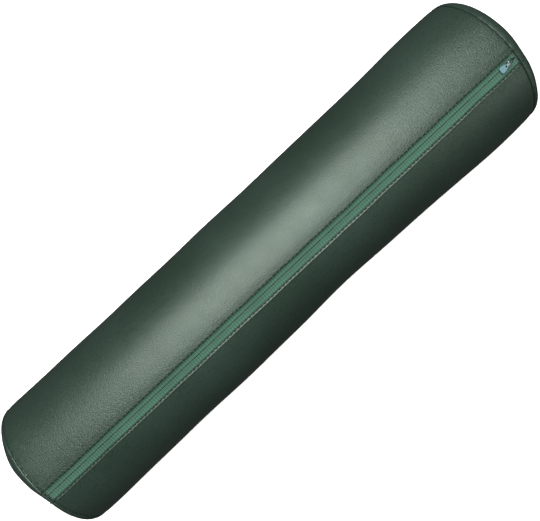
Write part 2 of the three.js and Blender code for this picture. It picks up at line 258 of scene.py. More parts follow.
def read_smoothly(moves, rows_at, columns_at):
    """A coarse grid of moves, read at finer rows and columns given from 0 to 1."""
    over_rows = curve_weights(moves.shape[0], rows_at)
    over_columns = curve_weights(moves.shape[1], columns_at)
    return np.einsum("ri,ijk,cj->rck", over_rows, moves, over_columns, optimize=True)


# ---- Cloth simulation of the leather ----

def filled_out(points, ring, cap):
    """How far each point of a grid of leather moves when the filling pushes it out. The outer
    rows (and columns, unless the grid is a ring) are sewn down. No point moves more than cap."""
    rows, columns = points.shape[:2]
    flat = points.reshape(-1, 3)
    faces = grid_faces(rows, columns, ring=ring).tolist()
    mesh = bpy.data.meshes.new("leather_trial")
    mesh.from_pydata(flat.tolist(), [], faces)
    trial = linked("leather_trial", mesh)

    sewn = np.zeros((rows, columns), bool)
    sewn[0] = True
    if not ring:
        sewn[-1] = True
        sewn[:, [0, -1]] = True
    group = trial.vertex_groups.new(name="sewn")
    group.add(np.flatnonzero(sewn).tolist(), 1.0, "REPLACE")

    cloth = trial.modifiers.new("Cloth", "CLOTH")
    cloth.settings.quality = 6
    cloth.settings.mass = 0.4
    cloth.settings.tension_stiffness = 30
    cloth.settings.compression_stiffness = 30
    cloth.settings.shear_stiffness = 12
    cloth.settings.bending_stiffness = 4
    cloth.settings.use_pressure = True
    cloth.settings.uniform_pressure_force = 4
    cloth.settings.vertex_group_mass = "sewn"
    cloth.settings.effector_weights.gravity = 0
    for number in range(1, 21):
        bpy.context.scene.frame_set(number)
    settled = trial.evaluated_get(bpy.context.evaluated_depsgraph_get())
    moves = np.array([vertex.co for vertex in settled.data.vertices]) - flat
    bpy.data.objects.remove(trial)
    bpy.context.scene.frame_set(1)

    distance = np.linalg.norm(moves, axis=1, keepdims=True)
    moves *= np.minimum(1, cap / np.maximum(distance, 1e-9))
    return moves.reshape(points.shape)


# ---- Materials ----

def node_material(name, **sockets):
    """A Principled material with these sockets set, its node tree and shader, and coordinates in
    metres for its patterns."""
    material = bpy.data.materials.new(name)
    material.use_nodes = True
    tree = material.node_tree
    shader = tree.nodes["Principled BSDF"]
    for socket, value in sockets.items():
        shader.inputs[socket.replace("_", " ")].default_value = value
    return material, tree, shader, object_coordinates(tree, (1, 1, 1))


def add_node(tree, kind, inputs=None, **settings):
    node = tree.nodes.new(kind)
    for name, value in settings.items():
        setattr(node, name, value)
    for name, value in (inputs or {}).items():
        node.inputs[name].default_value = value
    return node


def object_coordinates(tree, scale):
    """Object coordinates times a scale for each axis, so that patterns keep their real size."""
    source = add_node(tree, "ShaderNodeTexCoord")
    mapping = add_node(tree, "ShaderNodeMapping", {"Scale": scale})
    tree.links.new(source.outputs["Object"], mapping.inputs["Vector"])
    return mapping.outputs["Vector"]


def noise_of(tree, vector, scale, detail=3.0, roughness=0.5):
    inputs = {"Scale": scale, "Detail": detail, "Roughness": roughness}
    node = add_node(tree, "ShaderNodeTexNoise", inputs)
    tree.links.new(vector, node.inputs["Vector"])
    return node.outputs["Fac"]


def bands_of(tree, vector, scale, distortion, direction):
    """Soft bands across a direction."""
    inputs = {"Scale": scale, "Distortion": distortion, "Detail": 1.0}
    node = add_node(tree, "ShaderNodeTexWave", inputs, wave_type="BANDS", bands_direction=direction)
    tree.links.new(vector, node.inputs["Vector"])
    return node.outputs["Fac"]


def two_colours(tree, share, first, second, low=0.35, high=0.65):
    """A colour that goes from first to second as share goes from low to high."""
    node = add_node(tree, "ShaderNodeValToRGB")
    node.color_ramp.elements[0].position = low
    node.color_ramp.elements[0].color = (*first, 1)
    node.color_ramp.elements[1].position = high
    node.color_ramp.elements[1].color = (*second, 1)
    tree.links.new(share, node.inputs["Fac"])
    return node.outputs["Color"]


def multiplied(tree, colour, shade):
    """One colour times another."""
    node = add_node(tree, "ShaderNodeMix", data_type="RGBA", blend_type="MULTIPLY")
    colour_a, colour_b, colour_out = 6, 7, 2  # the node's colour sockets, which share their names
    node.inputs["Factor"].default_value = 1.0
    tree.links.new(colour, node.inputs[colour_a])
    tree.links.new(shade, node.inputs[colour_b])
    return node.outputs[colour_out]


def remapped(tree, value, low, high, to_low, to_high, curve="LINEAR"):
    inputs = {"From Min": low, "From Max": high, "To Min": to_low, "To Max": to_high}
    node = add_node(tree, "ShaderNodeMapRange", inputs, interpolation_type=curve)
    tree.links.new(value, node.inputs["Value"])
    return node.outputs["Result"]


def surface(tree, shader, base, *layers):
    """Gives the shader its base colour, and bump layers, each (height, strength, distance), one
    on another."""
    tree.links.new(base, shader.inputs["Base Color"])
    normal = None
    for height, strength, distance in layers:
        node = add_node(tree, "ShaderNodeBump", {"Strength": strength, "Distance": distance})
        tree.links.new(height, node.inputs["Height"])
        if normal is not None:
            tree.links.new(normal, node.inputs["Normal"])
        normal = node.outputs["Normal"]
    if normal is not None:
        tree.links.new(normal, shader.inputs["Normal"])


def leather_material():
    """Dark green artificial leather: pebbled grain with creases between the pebbles."""
    material, tree, shader, vector = node_material(
        "leather_dark_green",
        Specular_Tint=(0.87, 1.0, 0.89, 1),
        Specular_IOR_Level=0.5,
    )
    cells = add_node(
        tree, "ShaderNodeTexVoronoi", {"Scale": 500.0, "Randomness": 0.85}, feature="DISTANCE_TO_EDGE"
    )
    tree.links.new(vector, cells.inputs["Vector"])
    pebble = remapped(tree, cells.outputs["Distance"], 0.0, 0.16, 0.0, 1.0, "SMOOTHERSTEP")
    grain = noise_of(tree, vector, 520.0, 2.0)
    fine = noise_of(tree, vector, 2600.0, 2.0)
    broad = noise_of(tree, vector, 9.0, 2.0)
    soft_marks = noise_of(tree, vector, 60.0, 3.0)

    base = two_colours(tree, broad, (0.015, 0.028, 0.020), (0.020, 0.036, 0.027))
    # Darker in the creases between the pebbles: painted shade.
    shade = two_colours(tree, pebble, (0.6, 0.62, 0.61), (1, 1, 1), 0.0, 0.6)
    tree.links.new(remapped(tree, soft_marks, 0.3, 0.7, 0.34, 0.40), shader.inputs["Roughness"])
    layers = [(fine, 0.3, 0.00004), (grain, 0.5, 0.0004), (pebble, 0.6, 0.00013)]
    surface(tree, shader, multiplied(tree, base, shade), *layers, (soft_marks, 0.25, 0.0004))
    return material


def tape_material():
    """Woven polyester zip tape, ribbed across."""
    material, tree, shader, vector = node_material(
        "zip_tape_green", Roughness=0.8, Sheen_Weight=0.25, Sheen_Roughness=0.5
    )
    weft = bands_of(tree, vector, 620.0, 0.6, "X")
    warp = bands_of(tree, vector, 480.0, 0.5, "Y")
    bars = bands_of(tree, vector, 112.0, 1.2, "X")
    fuzz = noise_of(tree, vector, 900.0, 2.0)
    broad = noise_of(tree, vector, 25.0, 2.0)
    base = two_colours(tree, broad, (0.020, 0.084, 0.050), (0.028, 0.104, 0.062))
    # Darker in the valleys between the weft ribs: painted shade.
    shade = two_colours(tree, weft, (0.72, 0.72, 0.72), (1, 1, 1), 0.0, 0.7)
    barred = two_colours(tree, bars, (0.45, 0.5, 0.48), (1, 1, 1), 0.1, 0.5)
    colour = multiplied(tree, multiplied(tree, base, shade), barred)
    surface(tree, shader, colour, (fuzz, 0.3, 0.00005), (weft, 0.5, 0.00006), (warp, 0.3, 0.00005))
    return material


def coil_material():
    """Dyed nylon monofilament."""
    material, tree, shader, vector = node_material("zip_coil_nylon", Roughness=0.4)
    mottle = noise_of(tree, vector, 300.0, 2.0)
    base = two_colours(tree, mottle, (0.022, 0.085, 0.05), (0.035, 0.115, 0.07))
    tree.links.new(remapped(tree, mottle, 0.3, 0.7, 0.3, 0.5), shader.inputs["Roughness"])
    surface(tree, shader, base, (noise_of(tree, vector, 3000.0, 1.0), 0.1, 0.00003))
    return material


def spun_material(name, fibre_scale, first, second, gloss):
    """Dyed spun polyester: sewing thread or filler cord."""
    material, tree, shader, vector = node_material(name, Roughness=0.95, Specular_IOR_Level=gloss)
    fibre = noise_of(tree, vector, fibre_scale, 3.0)
    base = two_colours(tree, fibre, first, second)
    surface(tree, shader, base, (fibre, 0.4, 0.00004))
    return material


def hard_material(name, metallic, colour, worn, roughness):
    """Plated or enamelled metal with fine scratches and slightly worn patches."""
    material, tree, shader, vector = node_material(name, Metallic=metallic)
    scratches = noise_of(tree, object_coordinates(tree, (0.15, 1, 1)), 2500.0, 2.0)
    patches = noise_of(tree, vector, 350.0, 3.0)
    base = two_colours(tree, patches, colour, worn, 0.4, 0.75)
    rough = remapped(tree, scratches, 0.3, 0.7, roughness * 0.8, roughness * 1.3)
    tree.links.new(rough, shader.inputs["Roughness"])
    surface(tree, shader, base, (scratches, 0.15, 0.00003))
    return material


def foam_material():
    """Open-cell foam coloured charcoal as painted shade, so that the inside of the cover stays dark
    where it shows through the zip; its pores are painted darker still.
    """
    material, tree, shader, vector = node_material("foam_painted_shade", Roughness=0.95)
    cells = add_node(tree, "ShaderNodeTexVoronoi", {"Scale": 900.0})
    tree.links.new(vector, cells.inputs["Vector"])
    pores = cells.outputs["Distance"]
    # Charcoal, darker in the pores: painted shade for the dark inside of the cover.
    base = two_colours(tree, pores, (0.03, 0.033, 0.035), (0.07, 0.075, 0.08), 0.1, 0.5)
    surface(tree, shader, base, (pores, 0.6, 0.0003))
    return material


def wadding_material():
    """White polyester wadding."""
    material, tree, shader, vector = node_material("wadding_white", Roughness=0.95, Sheen_Weight=0.5)
    fibres = noise_of(tree, object_coordinates(tree, (0.4, 1, 1)), 500.0, 6.0, 0.7)
    lumps = noise_of(tree, vector, 40.0, 3.0)
    base = two_colours(tree, lumps, (0.76, 0.76, 0.73), (0.86, 0.86, 0.84))
    surface(tree, shader, base, (fibres, 0.5, 0.0004), (lumps, 0.5, 0.001))
    return material


def floor_material():
    """Plain pale floor, lit a little from within so that its shadows stay light."""
    material, tree, shader, vector = node_material("floor_pale", Roughness=0.9, Emission_Strength=0.55)
    mottle = noise_of(tree, vector, 3.0, 3.0)
    base = two_colours(tree, mottle, (0.88, 0.88, 0.88), (0.9, 0.9, 0.9))
    surface(tree, shader, base)
    return material


# ---- Leather wrap ----

def roll_radius(x, angle):
    """The wrap's outer radius, with its swells and the small unevenness of a sewn cover."""
    back = np.clip(np.sin(angle), 0, None) ** 2
    front = np.clip(-np.sin(angle), 0, None) ** 2
    radius = SIDE_RADIUS + CROWN * np.cos(angle) ** 2
    for swell in SWELLS:
        amount = swell["back"] * back + swell["front"] * front
        radius = radius + amount * bell(x, swell["x"], swell["spread"])
    uneven = waves(x + 0.06 * np.sin(angle), (0.09, 0.22), 5, SEED) * (back + front)
    return radius + 0.25 * MM * uneven


def hem_edge(x, side):
    """How far from the middle line the folded edge runs, which wanders a little."""
    return HEM_EDGE + 0.22 * MM * waves(x, (0.03, 0.12), 6, SEED + 20 + side)


def rounded_edge(inset):
    """1 at the folded edge, falling round to 0 a fold's width away."""
    share = 1 - np.clip(inset / FOLD, 0, 1)
    return 1 - np.sqrt(1 - share * share)


def stitch_phase(x):
    return np.cos(2 * math.pi * x / STITCH_PITCH)


def hem_relief(x, inset, front):
    """How far below the wrap's surface the leather lies, at this distance from the folded edge:
    the fold, the valley that the topstitch pulls down and the ridge beyond it. front is 1 on the
    front hem, which is sewn down harder, and 0 on the back one."""
    fold = LEATHER * rounded_edge(inset)
    pulled = (0.02 + 0.68 * front) * MM * (0.9 - 0.1 * stitch_phase(x))
    valley = pulled * bell(inset, STITCH_LINE, 0.6 * MM)
    ridge = (0.03 + 0.3 * front) * MM * bell(inset, STITCH_LINE + 1.8 * MM, 0.7 * MM)
    pucker = 0.04 * MM * stitch_phase(x) * bell(inset, STITCH_LINE + 1.2 * MM, 1.3 * MM)
    step = 0.12 * MM * ramp(inset, HEM_WIDTH - 3 * MM, HEM_WIDTH + 4 * MM)
    return fold + valley - ridge - pucker + step


def seam_pucker(angle, seed):
    """Ups and downs of the leather beside an end seam, about unit height: one at each stitch, and
    others with whole numbers of waves round the seam."""
    chance = np.random.default_rng(seed)
    total = 0.5 * np.cos(SEAM_STITCHES * angle)
    for count in chance.integers(15, 62, 7):
        total = total + 0.3 * np.sin(count * angle + 2 * math.pi * chance.random())
    return total


def wrap_columns():
    """Shares across the wrap, from the back hem to the front one: close together at the folded
    edges, where the stitches are, and even between."""
    girth = 2 * math.pi * ROLL_RADIUS - 2 * HEM_EDGE
    hem_steps, plain_step, edge_zone = 22, 2.6 * MM, 12 * MM
    near = edge_zone * (np.arange(hem_steps) / hem_steps) ** 1.7
    middle = np.arange(edge_zone, girth / 2, plain_step)
    half = np.concatenate([near, middle]) / girth
    return np.concatenate([half, 1 - half[::-1]]), girth


def shoulder(steps):
    """The last stretch of the wrap, where it turns down into an end seam: how far along it is,
    and how far down."""
    turn = np.linspace(0, math.pi / 2, steps)
    along = SHOULDER_LENGTH * np.sin(turn) ** 0.9
    down = SHOULDER_DROP * (1 - np.cos(turn)) ** 1.1
    return along, down


def shoulder_drop(x):
    """How far down the wrap has turned at a place along the roll."""
    along, down = shoulder(12)
    return np.interp(np.abs(x), COVER_END_X - SHOULDER_LENGTH + along, down)


def wrap_rows():
    """Places along the wrap and how far it has turned down there, from one seam to the other."""
    step = 1.25 * MM
    plain_end = COVER_END_X - SHOULDER_LENGTH
    plain = np.linspace(-plain_end, plain_end, int(2 * plain_end / step))[1:-1]
    along, down = shoulder(12)
    x = np.concatenate([-plain_end - along[::-1], plain, plain_end + along])
    drop = np.concatenate([down[::-1], np.zeros(len(plain)), down])
    return x, drop


def wrap_angles(x, share):
    """Angle from the top for places along and shares across the wrap."""
    back = np.arcsin(hem_edge(x, 0) / ROLL_RADIUS)
    front = np.arcsin(hem_edge(x, 1) / ROLL_RADIUS)
    return back + (2 * math.pi - back - front) * share


def wrap_outer_radius(x, angle):
    """The wrap's radius with its dip and puckers towards each end seam."""
    radius = roll_radius(x, angle)
    for end, seed in ((-1, SEED + 31), (1, SEED + 32)):
        inland = SEAM_X - end * x
        dip = SEAM_DIP * np.exp(-inland / (6 * MM))
        pucker = 0.22 * MM * seam_pucker(angle, seed) * np.exp(-inland / (7 * MM))
        radius = radius - dip - pucker
    return radius


def wrap_moves(rows_at, columns_at):
    """How the simulation moves the wrap, read at the fine grid's places."""
    rows, columns = 112, 84
    x = np.linspace(-COVER_END_X, COVER_END_X, rows)[:, None]
    share = np.linspace(0, 1, columns)[None, :]
    angle = wrap_angles(x, share)
    slack = 1.2 * MM * np.sin(math.pi * share) ** 0.3 * np.cos(math.pi * x / (2 * COVER_END_X)) ** 0.3
    radius = wrap_outer_radius(x, angle) - slack
    moves = filled_out(on_roll(x, angle, radius), ring=False, cap=3.0 * MM)
    return read_smoothly(moves, rows_at, columns_at)


def leather_wrap(leather):
    """The wrap as one closed sheet, folded under along both hems and turned in at both seams."""
    x, drop = wrap_rows()
    share, girth = wrap_columns()
    inset = np.minimum(share, 1 - share) * girth
    moves = wrap_moves((x + COVER_END_X) / (2 * COVER_END_X), share)
    x, drop = x[:, None], drop[:, None]
    share, inset = share[None, :], inset[None, :]
    angle = wrap_angles(x, share)

    radius = wrap_outer_radius(x, angle) - hem_relief(x, inset, share > 0.5) - drop
    outer = on_roll(x, angle, radius)
    fold_share = ramp(inset, 1 * MM, 24 * MM)
    outer = outer + moves * fold_share[..., None]

    folded = 1 - ramp(inset, HEM_WIDTH - 0.5 * MM, HEM_WIDTH)
    thickness = LEATHER * (1 - rounded_edge(inset)) * (1 + 0.6 * folded)
    thickness = np.maximum(thickness, 0.05 * MM)
    turned = ramp(drop, 0.3 * MM, 3.0 * MM)
    inner = outer - on_roll(0, angle, thickness * (1 - turned)) + on_roll(0, angle, 0)
    inner[..., 0] -= np.sign(x) * LEATHER * turned * 0.9

    made = sheet_solid("leather_wrap", resting(outer), resting(inner, 0.5 * MM), leather, flip=True)
    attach(made, "roll")
    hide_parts("cover_panel")
    return made


# ---- Domed ends ----

def end_path(fullness, rim_round):
    """How the end panel runs from its turned-in edge to its middle, as (out, radius) pairs: out
    is how far beyond the seam."""
    edge_out = SEAM_HALF_GAP
    allowance = [(edge_out, SEAM_RADIUS - 5 * MM), (edge_out, SEAM_RADIUS - 3.6 * MM)]
    turn = np.linspace(0, math.pi / 2, 9)
    rim = [
        (edge_out + rim_round * (1 - math.cos(t)), SEAM_RADIUS - rim_round * (1 - math.sin(t)))
        for t in turn
    ]
    start = math.asin(((edge_out + rim_round) / DOME_DEPTH) ** (fullness / 2))
    sweep = np.linspace(start, math.pi / 2, 46)[1:]
    power = 2 / fullness
    widest = SEAM_RADIUS / math.cos(start) ** power
    dome = [(DOME_DEPTH * math.sin(t) ** power, widest * math.cos(t) ** power) for t in sweep]
    path = np.array(allowance + rim + dome)
    path[-1, 1] = 0.35 * MM
    return path


def end_moves(path, sectors, seed):
    """How the simulation moves the end panel, read at the fine grid's places."""
    rings, coarse_sectors = 15, 64
    sewn_share = 0.2  # of the path, from its edge, that the seam holds still
    along = np.linspace(0, 1, len(path))
    rows_at = np.linspace(sewn_share, 1, rings)
    coarse = np.stack([np.interp(rows_at, along, path[:, k]) for k in (0, 1)], 1)
    angle = round_angles(coarse_sectors)
    pucker = 0.3 * MM * seam_pucker(angle, seed) * np.exp(-np.arange(rings) / 1.5)[:, None]
    points = on_roll(SEAM_X + coarse[:, :1] - 0.8 * MM, angle, coarse[:, 1:] - pucker)
    moves = filled_out(points, ring=True, cap=1.4 * MM)
    moves = np.concatenate([moves, moves[:, :1]], axis=1)
    rows_fine = (along - sewn_share) / (1 - sewn_share)
    fine = read_smoothly(moves, rows_fine, np.linspace(0, 1, sectors + 1)[:-1])
    from_middle = ramp(path[:, 1], 6 * MM, 20 * MM)
    fade = ramp(along, 0.22, 0.45) * from_middle
    return fine * fade[:, None, None]


def both_paths(side):
    """The paths of a dome's back side and of its front side."""
    return [end_path(ENDS[side][half], ENDS[side]["rim"]) for half in ("back", "front")]


def blended(angle, back, front):
    """back on the back side of an end, front on its front side, and smooth between."""
    share = ramp(np.sin(angle), -0.7, 0.7)
    return back * share + front * (1 - share)


def pulled_in(side, out, y):
    """How far in the dome's front side is pulled, more towards its middle than at its seam."""
    return ENDS[side]["pulled"] * ramp(-y, -12 * MM, 26 * MM) * out / DOME_DEPTH


def dome_out(side, angle, radius):
    """How far beyond the seam an end panel's outer face stands."""
    domes = [path[:RIM_END:-1] for path in both_paths(side)]
    out = blended(angle, *(np.interp(radius, dome[:, 1], dome[:, 0]) for dome in domes))
    pulled = pulled_in(side, out, radius * np.sin(angle))
    return out - pulled - dented(side, angle, out, radius)


def dented(side, angle, out, radius):
    """How far the dome's shoulder lies in, which it does most beside the end of the zip."""
    amount = np.zeros_like(angle)
    for dent in DENTS[side]:
        turned = (np.degrees(angle) - dent["at"] + 180) % 360 - 180
        amount = amount + dent["in"] * bell(turned, 0, dent["spread"])
    return amount * ramp(out, 0, 12 * MM) * ramp(radius, 8 * MM, 45 * MM)


def end_faces(rows, sectors, end):
    """Faces of an end panel's outer and inner layers, its edge and the small caps at its middle."""
    layer = rows * sectors
    outer = grid_faces(rows, sectors, ring=True, flip=end > 0)
    inner = grid_faces(rows, sectors, ring=True, flip=end < 0) + layer
    first = np.arange(sectors)
    after = (first + 1) % sectors
    edge = np.stack([first, first + layer, after + layer, after], axis=-1)[:, ::-end]
    last_ring = list(range(layer - sectors, layer))
    caps = [last_ring[::end], [corner + layer for corner in last_ring][::-end]]
    return np.concatenate([outer, inner, edge]).tolist() + caps


def end_panel(side, leather):
    """One domed end: a round panel of two layers, whose outer edge is turned into the seam."""
    end = ENDS[side]["sign"]
    seed = SEED + (41 if end > 0 else 42)
    sectors = 280
    angle = round_angles(sectors)
    back_path, front_path = both_paths(side)
    path = blended(angle[..., None], back_path[:, None], front_path[:, None])
    tangent = np.gradient(path, axis=0)
    tangent /= np.linalg.norm(tangent, axis=-1, keepdims=True)
    inside = path - LEATHER * np.abs(tangent[..., ::-1])

    rows = len(path)
    from_rim = np.linspace(0, 1, rows)[:, None]
    near_seam = np.exp(-np.clip(from_rim - 0.18, 0, None) / 0.08)
    pucker = 0.2 * MM * seam_pucker(angle, seed) * near_seam * ramp(from_rim, 0.04, 0.16)
    y, z = path[..., 1] * np.sin(angle), path[..., 1] * np.cos(angle)
    ripple = waves(y + 0.4 * z, (0.04, 0.1), 4, seed + 5) + waves(z - 0.4 * y, (0.04, 0.1), 4, seed + 6)
    ripple = 0.15 * MM * ripple
    shape = end_moves((back_path + front_path) / 2, sectors, seed)
    fit = (roll_radius(end * SEAM_X, angle) - SEAM_DIP) / SEAM_RADIUS

    layers = []
    for line in (path, inside):
        radius = fit * np.clip(line[..., 1], 0.3 * MM, None) - pucker
        points = on_roll(SEAM_X + line[..., 0], angle, radius)
        points[..., 0] += ripple * ramp(from_rim, 0.25, 0.5) - dented(side, angle, line[..., 0], radius)
        points += shape
        points[..., 0] -= pulled_in(side, points[..., 0] - SEAM_X, points[..., 1])
        points[..., 0] *= end
        layers.append(resting(points))
    outer, inner = layers

    points = np.concatenate([outer.reshape(-1, 3), inner.reshape(-1, 3)])
    made = make_object(f"end_leather_{side}", points, end_faces(rows, sectors, end), leather)
    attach(made, "roll")
    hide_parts(f"end_panel_{side}")
    return made


# ---- Zip ----

def tape_gap(x):
    """Half the gap between the tapes: closed along the chain, and parted just past the slider."""
    parted = ramp(x, slider_low.x, slider_high.x - 1.5 * MM)
    closing = 1 - ramp(x, slider_high.x + 1.0 * MM, COVER_END_X - 1.0 * MM)
    return TAPE_GAP + 2.0 * MM * parted * closing


def tape_relief(x, y, side):
    """Ups and downs of a tape: raised and ribbed over the coil, drawn in at the two rows of
    sewing, turned down at its inner edge and raised towards the hem."""
    rib = np.cos(2 * math.pi * x / COIL_PITCH)
    from_edge = y - tape_gap(x)
    over_coil = ramp(from_edge, 0, 0.35 * MM) * (1 - ramp(from_edge, 1.7 * MM, 2.3 * MM))
    sewing = bell(from_edge, 1.1 * MM, 0.28 * MM) + bell(from_edge, 1.9 * MM, 0.25 * MM)
    relief = 0.1 * MM * over_coil - 0.04 * MM
    relief = relief + 0.08 * MM * rib * (0.6 + 0.4 * over_coil)
    relief = relief - 0.1 * MM * sewing * (0.5 - 0.5 * rib)
    relief = relief - 0.35 * MM * (1 - ramp(from_edge, -0.1 * MM, 0.4 * MM))
    relief = relief + 0.03 * MM * waves(x, (0.02, 0.07), 5, SEED + 60 + side)
    return relief + 0.6 * MM * ramp(y, slider_high.y + 0.2 * MM, HEM_EDGE - 0.6 * MM)


def zip_tape(name, tape):
    """One woven tape, from the middle of the zip to under its hem."""
    side = SIDES[name]
    step = 0.32 * MM
    x = np.linspace(-COVER_END_X, COVER_END_X, int(2 * COVER_END_X / step))[:, None]
    across = np.linspace(0, 1, 22)[None, :] ** 1.35
    outer_edge = tape_high.y
    y = tape_gap(x) + (outer_edge - tape_gap(x)) * across
    height = np.sqrt(TAPE_TOP**2 - y**2) + tape_relief(x, y, side) - shoulder_drop(x)
    layers = [
        np.stack(np.broadcast_arrays(x, side * y, AXIS_HEIGHT + height - depth), axis=-1)
        for depth in (0, TAPE_THICKNESS)
    ]
    made = sheet_solid(f"tape_{name}", *layers, tape, flip=side < 0)
    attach(made, "roll")
    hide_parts(f"zip_tape_{name}")
    return made


def coil_middle(side):
    """Middle of one coil's section, as (y, z)."""
    return side * (TAPE_GAP + coil_high.y) / 2, (coil_low.z + coil_high.z) / 2


def zip_coil(name, nylon):
    """One row of teeth: a continuous nylon coil."""
    turns = int(2 * CHAIN_END_X / COIL_PITCH)
    steps = turns * 12
    turn = np.linspace(0, 2 * math.pi * turns, steps + 1)
    y, z = coil_middle(SIDES[name])
    half_width = (coil_high.y - TAPE_GAP) / 2 - COIL_WIRE
    half_height = (coil_high.z - coil_low.z) / 2 - COIL_WIRE
    path = np.stack(
        [
            COIL_PITCH * (turn / (2 * math.pi) - turns / 2),
            y + half_width * np.cos(turn),
            z + half_height * np.sin(turn),
        ],
        axis=-1,
    )
    made = tubes(f"coil_{name}", path[None], (1, 0, 0), COIL_WIRE, 6, nylon)
    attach(made, "roll")
    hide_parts(f"zip_coil_{name}")
    return made


def filler_cord(name, material):
    """The spun cord inside a coil."""
    y, z = coil_middle(SIDES[name])
    steps = 900
    x = np.linspace(-CHAIN_END_X, CHAIN_END_X, steps)
    path = np.stack([x, np.full(steps, y), np.full(steps, z)], axis=-1)
    radius = (cord_high.y - cord_low.y) / 2
    made = tubes(f"cord_{name}", path[None], (0, 0, 1), radius, 9, material, lobes=3, twist=900.0)
    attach(made, "roll")
    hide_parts(f"zip_cord_{name}")
    return made


def stitch_arch(steps):
    """One stitch from hole to hole: place along it from -1 to 1, and height over the leather."""
    along = np.linspace(-1, 1, steps)
    return along, 0.3 * MM - 1.1 * MM * np.abs(along) ** 6


def topstitch(name, thread):
    """The row of stitches beside one folded edge."""
    side = SIDES[name]
    along, height = stitch_arch(15)
    count = int(2 * (COVER_END_X - 4 * MM) / STITCH_PITCH)
    middles = (np.arange(count) - (count - 1) / 2) * STITCH_PITCH
    x = middles[:, None] + along[None, :] * STITCH_LENGTH / 2
    inset = STITCH_LINE * np.ones_like(x)
    edge = hem_edge(x, 0 if side > 0 else 1)
    angle = side * np.arcsin((edge + inset) / ROLL_RADIUS)
    radius = wrap_outer_radius(x, angle) - hem_relief(x, inset, side < 0) + height
    paths = np.concatenate([on_roll(x, angle, radius), end_tacks(side)])
    made = tubes(
        f"stitches_{name}", paths, (0, 0, 1), STITCH_RADIUS, 9, thread, lobes=3, twist=9.0
    )
    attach(made, "roll")
    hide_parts(f"topstitch_{name}")
    return made


def end_tacks(side):
    """The long last stitch at each end of a topstitch, from the hem to the end panel's rim."""
    along, height = stitch_arch(15)
    ends = np.array([[-1], [1]])
    x = ends * (SEAM_X + 0.4 * MM) + along * TACK_LENGTH / 2
    angle = side * np.arcsin((HEM_EDGE + STITCH_LINE) / ROLL_RADIUS)
    radius = roll_radius(x, angle) - SEAM_DIP - 0.2 * MM + height
    return on_roll(x, angle, radius)


def seam_stitches(name, thread):
    """The stitches that show in the groove of one end seam."""
    end = ENDS[name]["sign"]
    along, height = stitch_arch(11)
    pitch = 2 * math.pi / SEAM_STITCHES
    middles = (np.arange(SEAM_STITCHES) + 0.5) * pitch
    angle = middles[:, None] + along[None, :] * pitch * 0.36
    radius = roll_radius(end * SEAM_X, angle) - SEAM_DIP - 1.3 * MM + height
    x = np.full_like(angle, end * SEAM_X)
    paths = resting(on_roll(x, angle, radius), 0.4 * MM)
    made = tubes(
        f"seam_stitches_{name}", paths, (1, 0, 0), 0.32 * MM, 8, thread, lobes=3, twist=8.0
    )
    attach(made, "roll")
    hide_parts(f"seam_thread_{name}")
    return made


# ---- Slider and pull ----

STAND_UP = Matrix(((1, 0, 0, 0), (0, 0, -1, 0), (0, 1, 0, 0), (0, 0, 0, 1)))  # X-Y outlines to X-Z
BITE = 0.3 * MM  # how far the slider's joined parts reach into each other


def extruded(name, outline, low, high, bevel, material):
    """A closed plate over an X-Y outline, with its long edges rounded."""
    count = len(outline)
    points = [(x, y, z) for z in (low, high) for x, y in outline]
    walls = [[i, (i + 1) % count, (i + 1) % count + count, i + count] for i in range(count)]
    caps = [list(range(count))[::-1], list(range(count, 2 * count))]
    made = make_object(name, np.array(points), walls + caps, material, smooth=False)
    return bevelled(made, bevel, 3) if bevel else settled_mesh(made)


def bevelled(obj, width, segments):
    """The object with its sharp edges rounded."""
    edges = obj.modifiers.new("round", "BEVEL")
    edges.width = width
    edges.segments = segments
    edges.limit_method = "ANGLE"
    return settled_mesh(obj)


def settled_mesh(obj):
    """The object with its modifiers applied."""
    bpy.context.view_layer.update()
    finished = obj.evaluated_get(bpy.context.evaluated_depsgraph_get())
    mesh = bpy.data.meshes.new_from_object(finished)
    obj.modifiers.clear()
    obj.data = mesh
    return obj


def combined(base, other, operation):
    """base with other joined to it or cut from it; other is used up."""
    change = base.modifiers.new("combine", "BOOLEAN")
    change.operation = operation
    change.solver = "EXACT"
    change.object = other
    settled_mesh(base)
    bpy.data.objects.remove(other)
    return base


def rounded_box(name, low, high, bevel, material):
    """A box from its low corner to its high one, with its edges rounded."""
    outline = [(low[0], low[1]), (high[0], low[1]), (high[0], high[1]), (low[0], high[1])]
    return extruded(name, outline, low[2], high[2], bevel, material)


def pear(rear, front, rear_half, front_half, squareness):
    """A closed outline with a different half width at each end and well-rounded corners."""
    turn = round_angles(48)[0]
    power = 2 / squareness
    along = np.sign(np.cos(turn)) * np.abs(np.cos(turn)) ** power
    across = np.sign(np.sin(turn)) * np.abs(np.sin(turn)) ** power
    half = rear_half + (front_half - rear_half) * (along + 1) / 2
    x = (rear + front) / 2 + (front - rear) / 2 * along
    return np.stack([x, half * across], axis=1)


